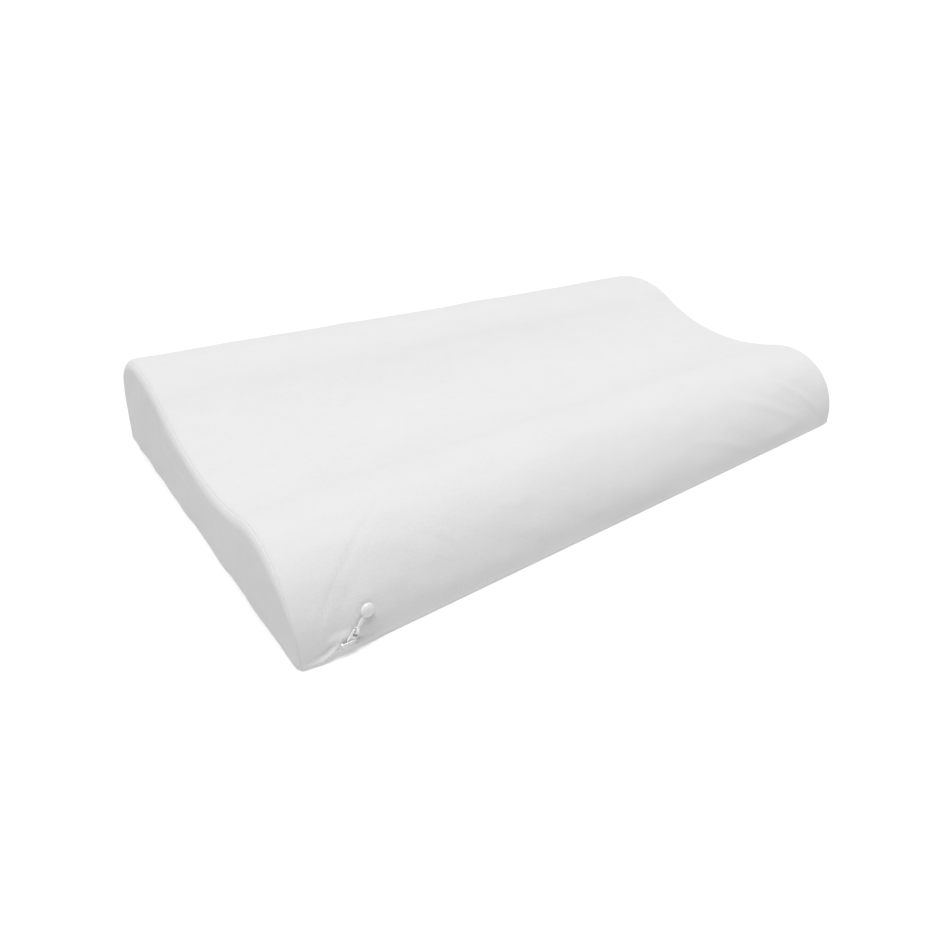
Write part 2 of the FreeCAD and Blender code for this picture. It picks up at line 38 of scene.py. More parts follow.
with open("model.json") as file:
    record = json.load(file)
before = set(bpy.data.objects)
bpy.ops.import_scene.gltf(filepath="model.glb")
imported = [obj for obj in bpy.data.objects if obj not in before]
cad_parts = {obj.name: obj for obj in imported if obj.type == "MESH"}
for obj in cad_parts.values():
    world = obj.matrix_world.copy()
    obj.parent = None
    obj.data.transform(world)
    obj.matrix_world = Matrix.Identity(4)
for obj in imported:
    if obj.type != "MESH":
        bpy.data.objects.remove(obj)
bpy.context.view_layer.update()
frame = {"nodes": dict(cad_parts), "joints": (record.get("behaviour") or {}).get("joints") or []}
joints = {joint["name"]: joint for joint in frame["joints"]}
MM = 0.001

# ---------------------------------------------------------------- sizes, in millimetres

LENGTH, DEPTH = 610.0, 376.0
FRONT_HEIGHT, VALLEY_HEIGHT, BACK_HEIGHT = 69.0, 58.0, 96.0
FACE_R, LOBE_R, VALLEY_R, BACK_R, SHOULDER_R, BACK_FACE_R = 77.0, 58.0, 205.0, 106.0, 70.0, 200.0
BACK_LEAN = math.radians(10)
END_ROUNDING = 9.0  # radius of the ends' edges
FRONT_CORNER = 3.5  # the same at the front foot
SEAM_DEPTH = 0.25
SEAM_WRAP = 3.0  # how far the end panels reach round onto the top
PANEL_LIP = 4.2  # how far the bottom panel reaches up the sides
GRID = 2.6  # spacing of the cover's mesh
FLAT_COUNT = 90  # points across the bottom panel's flat

LINER_INSET, FOAM_INSET = 3.4, 4.4  # deep enough for the cover's cloth to sink in a little
BEVEL_FOOT, BEVEL_SLOPE, BEVEL_INSET = -174.4, 0.42, 1.4  # the cut behind the zip, y by height

CHAIN_Y, CHAIN_Z, CHAIN_TILT = -186.5, 8.5, math.radians(8)
HEM_TOP = 20.0  # how far up the hem's own mesh columns reach
HEM_EDGE = 0.4  # the hem's lower edge above the floor
HEM_PLANE = 2.05  # the hem's height above the chain's middle plane
HEM_TANGENT = 12.5  # the height where the front face runs parallel to the zip
FORWARD_TOP = 50.0  # the height where the front face is no longer held forward by the zip
SLIDER_X = sum(corner.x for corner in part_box("zip_slider")) / 2 / MM
TAPE_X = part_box("zip_tape_upper")[1].x / MM
NOTCH_RISE = 9.3  # how far the slider holds the hem up
FLOOR_RISE = 3.7  # how far the bottom panel's front edge is pulled up there
BAND_DEPTH = 0.6  # the tapes' middle below the chain's middle plane
BAND_TILT = math.radians(4)  # the tapes' lean away from the chain's plane
FOLD_HEIGHT = 1.75  # the height of the lower tape's folded part above the floor

# The pull, along it from its hinge.
TIP_AT, TIP_REACH, TIP_HALF_WIDTH, TIP_HALF_THICK = 14.0, 4.5, 4.4, 2.3


def smoothstep(low, high, value):
    t = np.clip((np.asarray(value, float) - low) / (high - low), 0, 1)
    return t * t * (3 - 2 * t)


def bump(value, centre, left, right):
    """A bell curve with its own width on each side."""
    d = np.asarray(value, float) - centre
    return np.exp(-0.5 * (d / np.where(d < 0, left, right)) ** 2)


# ---------------------------------------------------------------- the pillow's outline


def outline_circles():
    """The six arcs of the end outline as (y, z, radius), each touching the next."""
    half = DEPTH / 2
    c1 = (FACE_R - half, 0.0)
    z2 = FRONT_HEIGHT - LOBE_R
    c2 = (c1[0] - math.sqrt((FACE_R - LOBE_R) ** 2 - z2**2), z2)
    z3 = VALLEY_HEIGHT + VALLEY_R
    c3 = (c2[0] + math.sqrt((LOBE_R + VALLEY_R) ** 2 - (z3 - z2) ** 2), z3)
    z4 = BACK_HEIGHT - BACK_R
    c4 = (c3[0] + math.sqrt((VALLEY_R + BACK_R) ** 2 - (z3 - z4) ** 2), z4)
    c6 = (half - BACK_FACE_R * math.cos(BACK_LEAN), -BACK_FACE_R * math.sin(BACK_LEAN))
    to_back, to_face = BACK_R - SHOULDER_R, BACK_FACE_R - SHOULDER_R
    span = math.dist(c4, c6)
    along = (to_back**2 - to_face**2 + span**2) / (2 * span)
    across = math.sqrt(to_back**2 - along**2)
    u = ((c6[0] - c4[0]) / span, (c6[1] - c4[1]) / span)
    sides = [
        (c4[0] + along * u[0] - k * across * u[1], c4[1] + along * u[1] + k * across * u[0])
        for k in (1, -1)
    ]
    c5 = max(sides, key=lambda c: c[1])
    radii = (FACE_R, LOBE_R, VALLEY_R, BACK_R, SHOULDER_R, BACK_FACE_R)
    return [(*c, r) for c, r in zip((c1, c2, c3, c4, c5, c6), radii)]


def touch_point(first, second):
    (y1, z1, r1), (y2, z2, r2) = first, second
    gap = math.dist((y1, z1), (y2, z2))
    outside = abs(r1 + r2 - gap) < abs(abs(r1 - r2) - gap)
    sign = 1 if outside or r1 > r2 else -1
    return (y1 + sign * r1 * (y2 - y1) / gap, z1 + sign * r1 * (z2 - z1) / gap)


def outline(spacing):
    """Points, outward directions and distances along the outline, from front foot to back foot."""
    circles = outline_circles()
    ends = [(-DEPTH / 2, 0.0)]
    ends += [touch_point(circles[i], circles[i + 1]) for i in range(5)]
    ends += [(DEPTH / 2, 0.0)]
    points, normals = [], []
    for i, (cy, cz, r) in enumerate(circles):
        turn = 1 if i == 2 else -1  # the valley curves the other way
        start = math.atan2(ends[i][1] - cz, ends[i][0] - cy)
        end = math.atan2(ends[i + 1][1] - cz, ends[i + 1][0] - cy)
        sweep = (turn * (end - start)) % (2 * math.pi)
        count = max(2, round(sweep * r / spacing))
        steps = count + 1 if i == 5 else count
        for k in range(steps):
            a = start + turn * sweep * k / count
            out = np.array((math.cos(a), math.sin(a)))
            points.append(np.array((cy, cz)) + r * out)
            normals.append(-turn * out)
    points, normals = np.array(points), np.array(normals)
    steps = np.linalg.norm(np.diff(points, axis=0), axis=1)
    return points, normals, np.concatenate(([0], np.cumsum(steps)))


def stations(spacing):
    """Places along the straight part of the pillow, between its rounded ends."""
    straight = LENGTH / 2 - END_ROUNDING
    return list(np.linspace(-straight, straight, round(2 * straight / spacing) + 1))


def rounding(angle, radius=END_ROUNDING):
    """How far the rounded end has gone out and in at an angle, as (x, inset)."""
    a = math.radians(angle)
    return LENGTH / 2 - radius * (1 - math.sin(a)), radius * (1 - math.cos(a))


def edge_radius(along):
    """The ends' rounding along the outline: tight at the front foot, soft everywhere else."""
    return FRONT_CORNER + (END_ROUNDING - FRONT_CORNER) * smoothstep(22, 90, along)


def sections(angles, spacing, radius=END_ROUNDING):
    """All sections from end to end as (x, inset), each a number or one value per outline point."""
    ends = [rounding(a, radius) for a in angles]
    straight = [(x, 0.0 * radius) for x in stations(spacing)]
    return [(-x, i) for x, i in ends] + straight + [(x, i) for x, i in reversed(ends)]


SEAM_ANGLE = math.degrees(math.asin(1 - SEAM_WRAP / END_ROUNDING))


# ---------------------------------------------------------------- mesh helpers


def grid_faces(rows, cols, first=0):
    faces = []
    for r in range(rows - 1):
        for c in range(cols - 1):
            a = first + r * cols + c
            faces.append((a, a + 1, a + cols + 1, a + cols))
    return faces


def make_object(name, points, faces, weld=0.02):
    """A smooth mesh object from points in millimetres, its faces turned outwards."""
    mesh = bpy.data.meshes.new(name)
    flat = np.asarray(points, float).reshape(-1, 3) * MM
    mesh.from_pydata(flat.tolist(), [], [tuple(f) for f in faces])
    work = bmesh.new()
    work.from_mesh(mesh)
    bmesh.ops.remove_doubles(work, verts=work.verts, dist=weld * MM)
    bmesh.ops.dissolve_degenerate(work, edges=work.edges, dist=1e-7)
    bmesh.ops.recalc_face_normals(work, faces=work.faces)
    for face in work.faces:
        face.smooth = True
    work.to_mesh(mesh)
    work.free()
    obj = bpy.data.objects.new(name, mesh)
    bpy.context.scene.collection.objects.link(obj)
    return obj


def grid_normals(grid):
    """Unit normals of a grid of points."""
    du, dv = np.gradient(grid, axis=0), np.gradient(grid, axis=1)
    n = np.cross(du, dv)
    return n / np.maximum(np.linalg.norm(n, axis=2, keepdims=True), 1e-9)


def blur(grid, passes):
    """A grid of vectors averaged with its neighbours, its border kept."""
    out = grid.copy()
    for _ in range(passes):
        inner = out[1:-1, 1:-1]
        around = out[:-2, 1:-1] + out[2:, 1:-1] + out[1:-1, :-2] + out[1:-1, 2:]
        out[1:-1, 1:-1] = inner * 0.4 + around * 0.15
    return out


def undulation(a, b, wavelengths, seed):
    """A smooth uneven field of about unit height: waves in many directions."""
    rng = np.random.default_rng(seed)
    total = np.zeros_like(a, float)
    for wavelength in wavelengths:
        for _ in range(6):
            heading, phase = rng.uniform(0, 2 * math.pi, 2)
            k = 2 * math.pi / (wavelength * rng.uniform(0.8, 1.25))
            total += np.sin(k * (a * math.cos(heading) + b * math.sin(heading)) + phase)
    return total / (2.4 * len(wavelengths) ** 0.5)


def crease(a, b, start, bend, end, width, samples=40):
    """How strongly a point (a, b) lies on a curved fold line: 1 on it, fading over its width."""
    t = np.linspace(0, 1, samples)
    s, m, e = (np.array(p, float) for p in (start, bend, end))
    curve = np.outer((1 - t) ** 2, s) + np.outer(2 * t * (1 - t), m) + np.outer(t**2, e)
    near = np.full(a.shape, 1e9)
    place = np.zeros(a.shape)
    for i in range(samples - 1):
        p, d = curve[i], curve[i + 1] - curve[i]
        u = np.clip(((a - p[0]) * d[0] + (b - p[1]) * d[1]) / (d @ d), 0, 1)
        da, db = a - p[0] - u * d[0], b - p[1] - u * d[1]
        dist = np.hypot(da, db)
        closer = dist < near
        near = np.where(closer, dist, near)
        place = np.where(closer, (i + u) / (samples - 1), place)
    strength = np.sin(math.pi * np.clip(place, 0.02, 0.98)) ** 0.6
    profile = np.exp(-((near / width) ** 2)) - 0.45 * np.exp(-(((near - 1.6 * width) / width) ** 2))
    return strength * profile


def straight_foot(edge, height):
    """The foot of a flat end: as many points as its upper edge has, evenly along one height."""
    foot = edge.copy()
    foot[:, 1] = np.linspace(edge[0, 1], edge[-1, 1], len(edge))
    foot[:, 2] = height
    return foot


# ---------------------------------------------------------------- closed forms and cloth simulation


def closed_form(name, inset, spacing, angles, weld, end_share=1.0, cap_rows=12, behind_zip=False):
    """A closed form a distance inside the pillow's outline, with flat ends."""
    points, normals, _ = outline(spacing)
    n = len(points)
    rows = []
    for x, end_inset in sections(angles, spacing):
        ring = points - normals * (inset + end_inset * end_share)
        ring[:, 1] = np.maximum(ring[:, 1], inset)
        if behind_zip:
            bevel = BEVEL_FOOT - BEVEL_SLOPE * ring[:, 1] + (inset - BEVEL_INSET)
            ring[:, 0] = np.maximum(ring[:, 0], bevel)
        base_y = np.linspace(ring[-1, 0], ring[0, 0], n)[1:-1]
        base = np.column_stack((base_y, np.full(n - 2, inset)))
        loop = np.vstack((ring, base, ring[:1]))
        shift = x - math.copysign(inset, x) if abs(x) > 290 else x
        rows.append(np.column_stack((np.full(len(loop), shift), loop)))
    body = np.array(rows)
    all_points, faces = [body.reshape(-1, 3)], grid_faces(*body.shape[:2])
    offset = body.shape[0] * body.shape[1]
    t = np.linspace(0, 1, cap_rows)[:, None, None]
    for end in (0, -1):
        top = body[end][:n]
        cap = top[None] * (1 - t) + straight_foot(top, inset)[None] * t
        all_points.append(cap.reshape(-1, 3))
        faces += grid_faces(cap_rows, n, offset)
        offset += cap_rows * n
    return make_object(name, np.vstack(all_points), faces, weld)


def swell(cap):
    """Cloth under pressure, sewn at the panel seams: rest points and their movement, in mm."""
    form = closed_form("cover_form", 1.0, 9.0, (90, 65, 40, 20), weld=0.3, cap_rows=8)
    remesh = form.modifiers.new("remesh", "REMESH")
    remesh.mode = "VOXEL"
    remesh.voxel_size = 6 * MM
    graph = bpy.context.evaluated_depsgraph_get()
    mesh = bpy.data.meshes.new_from_object(form.evaluated_get(graph))
    bpy.data.objects.remove(form)
    pad = bpy.data.objects.new("cover_cloth", mesh)
    bpy.context.scene.collection.objects.link(pad)

    rest = np.zeros(len(mesh.vertices) * 3)
    mesh.vertices.foreach_get("co", rest)
    rest = rest.reshape(-1, 3) / MM
    seam_x = LENGTH / 2 - SEAM_WRAP
    on_end_seam = np.abs(np.abs(rest[:, 0]) - seam_x) < 3.2
    flat_end = np.abs(rest[:, 0]) > LENGTH / 2 - 2.2
    pinned = (on_end_seam & ~flat_end) | (rest[:, 2] < 6)
    group = pad.vertex_groups.new(name="seams")
    group.add([int(i) for i in np.nonzero(pinned)[0]], 1.0, "REPLACE")

    cloth = pad.modifiers.new("cloth", "CLOTH")
    settings = cloth.settings
    settings.quality = 5
    settings.mass = 0.25
    settings.tension_stiffness = 12
    settings.compression_stiffness = 12
    settings.bending_stiffness = 1.5
    settings.use_pressure = True
    settings.uniform_pressure_force = 4
    settings.vertex_group_mass = "seams"
    settings.effector_weights.gravity = 0
    scene = bpy.context.scene
    for step in range(1, 21):
        scene.frame_set(step)
    graph = bpy.context.evaluated_depsgraph_get()
    settled = np.zeros(len(rest) * 3)
    pad.evaluated_get(graph).data.vertices.foreach_get("co", settled)
    scene.frame_set(1)
    moved = settled.reshape(-1, 3) / MM - rest
    edges = np.zeros(len(mesh.edges) * 2, int)
    mesh.edges.foreach_get("vertices", edges)
    bpy.data.objects.remove(pad)

    size = np.maximum(np.linalg.norm(moved, axis=1, keepdims=True), 1e-9)
    moved = moved / size * cap * np.tanh(size / cap)
    edges = edges.reshape(-1, 2)
    for _ in range(6):
        total, count = moved.copy(), np.ones(len(moved))
        for a, b in ((0, 1), (1, 0)):
            np.add.at(total, edges[:, a], moved[edges[:, b]])
            np.add.at(count, edges[:, a], 1)
        moved = total / count[:, None]
    return rest, moved


class Swelling:
    """The cloth's movement, read at any point of the cover."""

    def __init__(self, cap):
        self.tree = None
        rest, self.moved = swell(cap)
        self.tree = KDTree(len(rest))
        for i, p in enumerate(rest):
            self.tree.insert(Vector(p), i)
        self.tree.balance()

    def at(self, grid, passes):
        out = np.zeros_like(grid)
        if self.tree is None:
            return out
        for index in np.ndindex(grid.shape[:2]):
            found = self.tree.find_n(Vector(grid[index]), 6)
            weights = np.array([1 / (d * d + 4) for _, _, d in found])
            rows = self.moved[[i for _, i, _ in found]]
            out[index] = weights @ rows / weights.sum()
        return blur(out, passes)


swelling = Swelling(cap=2.2)


# ---------------------------------------------------------------- cover: top panel

# Fold lines on the front lobe, as (x, distance up the face): start, bend, end, width, depth.
FRONT_CREASES = (
    ((-298, 12), (-282, 48), (-204, 100), 1.8, -0.65),
    ((-204, 57), (-196, 50), (-186, 38), 2.6, 0.45),
    ((-146, 52), (-138, 51), (-128, 47), 2.4, 0.35),
    ((150, 60), (190, 46), (240, 20), 4.5, 0.35),
    ((205, 70), (240, 52), (280, 18), 4.0, 0.4),
    ((60, 42), (100, 34), (150, 12), 5.0, 0.3),
)

# The turn from the bottom up the sides, as (distance in from the side, height).
TURN = ((0.9, 4.5), (0.25, 4.0), (0.0, 3.0), (0.1, 2.0), (0.5, 1.0), (1.3, 0.4), (2.6, 0.12), (4.2, 0.0))


def slider_lift(x):
    """How far the hem is held up by the slider."""
    return NOTCH_RISE * bump(x, SLIDER_X + 0.8, 8.0, 5.5)


def floor_lift(x):
    """How far the bottom panel's front edge is pulled up off the floor near the slider."""
    return FLOOR_RISE * bump(x, SLIDER_X - 2.5, 4.5, 6.5)


def rim_rise(x):
    """How far the bottom panel's rim is pulled up behind the hem, left of the slider only."""
    wanted = HEM_EDGE + slider_lift(x) + 1.4 - TURN[0][1]
    return np.maximum(wanted, 0) * (1 - smoothstep(SLIDER_X - 7.4, SLIDER_X - 5.7, x))


def face_y(z, inset=0.0):
    """The front face at a height."""
    return FACE_R - DEPTH / 2 - np.sqrt((FACE_R - inset) ** 2 - np.asarray(z, float) ** 2)


def forward(x, z):
    """How far the front face comes forward so that it lies over the zip."""
    c, s = math.cos(CHAIN_TILT), math.sin(CHAIN_TILT)
    level = np.minimum(z, HEM_TANGENT)
    up = (level - CHAIN_Z - s * HEM_PLANE) / c
    plane = CHAIN_Y + s * up - c * HEM_PLANE
    share = (1 - smoothstep(HEM_TANGENT, FORWARD_TOP, z)) * (1 - smoothstep(288, 303, abs(x)))
    return np.maximum(face_y(level) - plane, 0) * share


def hem_y(x, z, inset):
    """The hem's outside: the front face over the zip, with the slider's plate pushing it out."""
    over = np.exp(-(((x - SLIDER_X + 1.5) / 8.2) ** 4)) * np.exp(-(((z - 9.5) / 5.8) ** 4))
    return face_y(z, inset) - forward(x, z) - 1.5 * over


def hem_column(x, inset):
    """Points of the hem at one station, from its inner turn round the edge and up the face.

    The hem is thin over the slider, and has a rolled bead on each side of it.
    """
    edge = HEM_EDGE + float(slider_lift(x))
    near = float(np.exp(-(((x - SLIDER_X) / 8.5) ** 4)))
    thick = 1.0 - 0.82 * near
    beside = float(bump(x, SLIDER_X - 10.5, 7, 3.5) + bump(x, SLIDER_X + 10.5, 3, 7))
    bead = 0.12 * (1 - near) + 1.2 * beside
    outer = hem_y(x, edge + 0.6, inset)
    turn = ((1.1, 2.6), (1.05, 0.9), (0.8, 0.15 * thick), (0.4, -0.08), (0.08, 0.2))
    column = [(outer + back * thick, edge + above) for back, above in turn]
    for t in np.linspace(0, 1, 18)[:-1] ** 1.35:
        z = edge + 0.6 + t * (HEM_TOP - edge - 0.6)
        roll = bead * math.exp(-(((z - edge - 1.4) / 1.2) ** 2))
        roll -= 0.5 * bead * math.exp(-(((z - edge - 4.6) / 1.5) ** 2))
        column.append((hem_y(x, z, inset) - roll, z))
    return column


def top_panel():
    """The top panel: the hem over the zip, the front face, over both lobes and down the back."""
    points, normals, along = outline(GRID)
    start = int(np.argmax(points[:, 1] > HEM_TOP + 0.5))
    last = len(points) - 1 - int(np.argmax(points[::-1, 1] > PANEL_LIP + 0.5))
    body, out = points[start : last + 1], normals[start : last + 1]
    radius = edge_radius(along[start : last + 1])
    hem_radius = float(edge_radius(HEM_TOP))
    angles = [SEAM_ANGLE * k for k in (1.0, 0.96, 0.85, 0.66, 0.46, 0.25)]
    places = sections(angles, GRID, radius)
    hem_places = sections(angles, GRID, hem_radius)
    rows, heights = [], []
    for index, (x, inset) in enumerate(places):
        at_seam = index in (0, len(places) - 1)
        groove = SEAM_DEPTH if at_seam else 0.0
        hem_x, hem_inset = hem_places[index]
        hem = np.array(hem_column(hem_x, hem_inset + groove))
        upper = body - out * (inset + groove)[:, None]
        upper[:, 0] -= np.where(body[:, 0] < 0, forward(x, body[:, 1]), 0)
        foot = upper[-1] + np.array((-0.9, -0.35))
        column = np.vstack((hem, upper, foot))
        upper_x = x * np.ones(len(upper))
        column_x = np.concatenate((np.full(len(hem), hem_x), upper_x, upper_x[-1:]))
        rows.append(np.column_stack((column_x, column)))
        heights.append(np.concatenate((hem[:, 1], along[start : last + 1], along[last : last + 1])))
    grid, up = np.array(rows), np.array(heights)
    across = grid[:, :, 0]

    hem_share = smoothstep(14, 26, up)
    seam_share = 1 - smoothstep(LENGTH / 2 - 14, LENGTH / 2 - SEAM_WRAP, np.abs(across))
    back_share = 1 - smoothstep(along[last] - 14, along[last], up)
    grid = grid + swelling.at(grid, 10) * (hem_share * (0.25 + 0.75 * seam_share) * back_share)[..., None]

    out = grid_normals(grid)
    if out[len(out) // 2, out.shape[1] // 2, 2] < 0:
        out = -out
    offset = 0.35 * undulation(across, up, (160, 90), 3) + 0.12 * undulation(across, up, (38, 24), 5)
    for first, middle, end, width, depth in FRONT_CREASES:
        offset = offset + depth * crease(across, up, first, middle, end, width)
    lower = np.exp(-(((up - 6) / 10) ** 2))
    offset = offset + 0.25 * lower * undulation(across, up * 0.3, (70, 31), 11)
    offset = offset * smoothstep(2.5, 16, up) * seam_share * back_share
    # the cloth rises a little where the pull's round tip rests on it
    tip = pull_point(TIP_AT)
    near_tip = np.hypot(grid[..., 0] - tip[0], grid[..., 2] - tip[2])
    offset = offset + np.where(grid[..., 1] < 0, 0.9 * np.exp(-((near_tip / 9) ** 2)), 0)
    grid = grid + out * offset[..., None]
    return make_object("cover_top", grid, grid_faces(*grid.shape[:2]))


# ---------------------------------------------------------------- cover: end panels


def end_panel(side):
    """One end panel: round the edge from the seam, then down over the flat of the end."""
    points, normals, along = outline(GRID)
    low_edge = 0.35
    keep = points[:, 1] > low_edge
    points, normals = points[keep], normals[keep]
    radius = edge_radius(along[keep])
    rows = []
    angles = [SEAM_ANGLE, SEAM_ANGLE + 2.5] + list(np.linspace(SEAM_ANGLE + 8, 90, 7))
    for k, angle in enumerate(angles):
        x, inset = rounding(angle, radius)
        ring = points - normals * (inset + (SEAM_DEPTH if k == 0 else 0))[:, None]
        ring[:, 1] = np.maximum(ring[:, 1], low_edge)
        rows.append(np.column_stack((x, ring)))
    top = rows[-1]
    low = straight_foot(top, low_edge)
    for t in np.linspace(0, 1, 26)[1:]:
        rows.append(top * (1 - t) + low * t)
    grid = np.array(rows)
    grid[..., 0] *= side

    from_edge = np.linalg.norm(grid - grid[len(angles) - 1], axis=2)
    at_edge = 0.7
    seam_share = at_edge + (1 - at_edge) * smoothstep(0, 8, from_edge)
    seam_share[: len(angles)] = at_edge * np.linspace(0, 1, len(angles))[:, None] ** 1.5
    y, z = grid[..., 1], grid[..., 2]
    foot_share = smoothstep(3, 16, z)
    grid = grid + swelling.at(grid, 12) * (seam_share * foot_share)[..., None]

    flat = np.clip(seam_share, 0, 1) ** 2
    seed = 21 if side < 0 else 27
    offset = 0.45 * undulation(y, z, (120, 60), seed) + 0.15 * undulation(y, z, (26, 17), seed + 1)
    offset = offset + 0.5 * crease(y, z, (58, 47), (14, 37), (-37, 28), 5.0)
    offset = offset * flat * smoothstep(3, 14, z)
    sag = 0.9 + 0.6 * undulation(y, z * 0.2, (64, 36), seed + 2)
    offset = offset + np.maximum(sag, 0.45) * np.exp(-((z / 11) ** 2)) * flat
    grid[..., 0] += side * offset
    name = "cover_end_left" if side < 0 else "cover_end_right"
    return make_object(name, grid, grid_faces(*grid.shape[:2]))


# ---------------------------------------------------------------- cover: bottom panel


def bottom_column(front, back, back_line):
    """Points of the bottom panel at one station: up the front lip, over the bottom, up the back."""
    (x, inset), (back_x, back_inset) = front, back
    lift, rim = float(floor_lift(x)), TURN[0][1]
    top = rim + float(rim_rise(x))

    def back_y(z):
        return float(np.interp(z, back_line[::-1, 1], back_line[::-1, 0])) - back_inset

    column = []
    for step, z in TURN:
        raised = lift + z * (top - lift) / rim
        column.append((x, float(face_y(raised, inset)) + step, raised))
    y_low = float(face_y(0, inset)) + TURN[-1][0]
    y_high = back_y(0.0) - TURN[-1][0]
    for t in np.linspace(0, 1, FLAT_COUNT)[1:-1]:
        y = y_low + (y_high - y_low) * t
        fall = 1 - float(smoothstep(0, 7, y + DEPTH / 2))
        column.append((x + (back_x - x) * t, y, lift * fall))
    column += [(back_x, back_y(z) - step, z) for step, z in reversed(TURN)]
    return np.array(column)


def bottom_panel():
    """The bottom panel: flat on the floor, with a lip all round that turns up the sides."""
    points, _, _ = outline(1.0)
    back_line = points[points[:, 0] > 150]
    angles = (90, 72, 54, 36, 18)
    front_places = sections(angles, GRID, float(edge_radius(0)))
    back_places = sections(angles, GRID)
    body = np.array([bottom_column(f, b, back_line) for f, b in zip(front_places, back_places)])
    all_points, faces = [body.reshape(-1, 3)], grid_faces(*body.shape[:2])
    offset = body.shape[0] * body.shape[1]
    turn = len(TURN)
    for end, side in ((0, -1), (-1, 1)):
        edge = body[end][turn - 1 : -(turn - 1)]
        wall = []
        for step, z in reversed(TURN):
            line = edge.copy()
            line[:, 0] = side * (LENGTH / 2 - step)
            line[:, 2] = z
            wall.append(line)
        wall = np.array(wall)
        all_points.append(wall.reshape(-1, 3))
        faces += grid_faces(*wall.shape[:2], offset)
        offset += wall.shape[0] * wall.shape[1]
    return make_object("cover_bottom", np.vstack(all_points), faces, weld=0.05)


# ---------------------------------------------------------------- liner and foam


def inner_form(name, inset):
    """The liner or the foam: a closed form inside the cover, bevelled behind the zip."""
    angles = (90, 70, 50, 30, 15)
    return closed_form(name, inset, 6.0, angles, weld=0.2, end_share=0.9, behind_zip=True)


# ---------------------------------------------------------------- zip


def chain_point(x, up, out, tilt=CHAIN_TILT):
    """A point given along the chain, up the face and out of it."""
    c, s = math.cos(tilt), math.sin(tilt)
    return (x, CHAIN_Y + s * up - c * out, CHAIN_Z + c * up + s * out)


def coil(name, side):
    """One half of the zip's coil: a spiral of monofilament along the tape's edge."""
    node = "zip_coil_upper" if side > 0 else "zip_coil_lower"
    low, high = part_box(node)
    start, end = low.x / MM + 0.3, high.x / MM - 0.3
    pitch, wire, per_turn, sides = 1.5, 0.26, 9, 6
    turns = int((end - start) / pitch)
    t = np.arange(turns * per_turn + 1) / per_turn
    angle = 2 * math.pi * t + (0 if side > 0 else math.pi)
    up = side * (1.55 - 0.59 * np.cos(angle))
    out = 0.65 + 0.69 * np.sin(angle)
    path = np.array([chain_point(start + pitch * a, u, o) for a, u, o in zip(t, up, out)])
    heading = np.gradient(path, axis=0)
    heading /= np.linalg.norm(heading, axis=1, keepdims=True)
    first = np.cross(heading, (1.0, 0.0, 0.0))
    first /= np.linalg.norm(first, axis=1, keepdims=True)
    second = np.cross(heading, first)
    around = np.linspace(0, 2 * math.pi, sides + 1)
    rings = [path + wire * (math.cos(a) * first + math.sin(a) * second) for a in around]
    grid = np.transpose(np.array(rings), (1, 0, 2))
    return make_object(name, grid, grid_faces(*grid.shape[:2]), weld=0.01)


def slab(name, grid, thickness):
    """A thin strip: a grid of points with its back and edges."""
    obj = make_object(name, grid, grid_faces(*grid.shape[:2]))
    solid = obj.modifiers.new("thickness", "SOLIDIFY")
    solid.thickness = thickness * MM
    solid.offset = 0
    graph = bpy.context.evaluated_depsgraph_get()
    obj.data = bpy.data.meshes.new_from_object(obj.evaluated_get(graph))
    obj.modifiers.clear()
    return obj


def tape_upper():
    """The upper tape, up behind the hem."""
    tilt = CHAIN_TILT + BAND_TILT
    along = np.linspace(-TAPE_X, TAPE_X, 240)
    up = np.linspace(0.8, 11.8, 8)
    grid = np.array([[chain_point(x, u, -BAND_DEPTH, tilt) for u in up] for x in along])
    return slab("zip_band_upper", grid, 0.5)


def tape_lower():
    """The lower tape: down behind the bottom panel's lip and folded back over that panel."""
    tilt = CHAIN_TILT - BAND_TILT
    along = np.linspace(-TAPE_X, TAPE_X, 240)
    rows = []
    for x in along:
        lift = float(floor_lift(x))
        row = [chain_point(x, u, -BAND_DEPTH, tilt) for u in (-0.8, -2.2, -3.4)]
        turn_y, low = row[-1][1], FOLD_HEIGHT + lift
        row.append((x, turn_y - 0.15, (row[-1][2] + low) / 2 + 0.2))
        for back in (0.25, 0.9, 2.5, 4.5, 6.5, 7.8):
            fall = 1 - float(smoothstep(0, 4, back))
            bend = 0.35 if back < 0.5 else 0
            row.append((x, turn_y + back, FOLD_HEIGHT + lift * fall + bend))
        rows.append(row)
    return slab("zip_band_lower", np.array(rows), 0.45)


HINGE = Vector(joints["pull_flip"]["pos_m"]) / MM
HINGE_AXIS = Vector(joints["pull_flip"]["axis"]).normalized()
FACE_OUT = Vector(joints["pull_sway"]["axis"]).normalized()
PULL_WAY = FACE_OUT.cross(HINGE_AXIS).normalized()


def pull_point(distance, across=0.0, out=0.0):
    """A point on the pull: along it from its hinge, across it, and out of the face."""
    return HINGE + PULL_WAY * distance + HINGE_AXIS * across + FACE_OUT * out


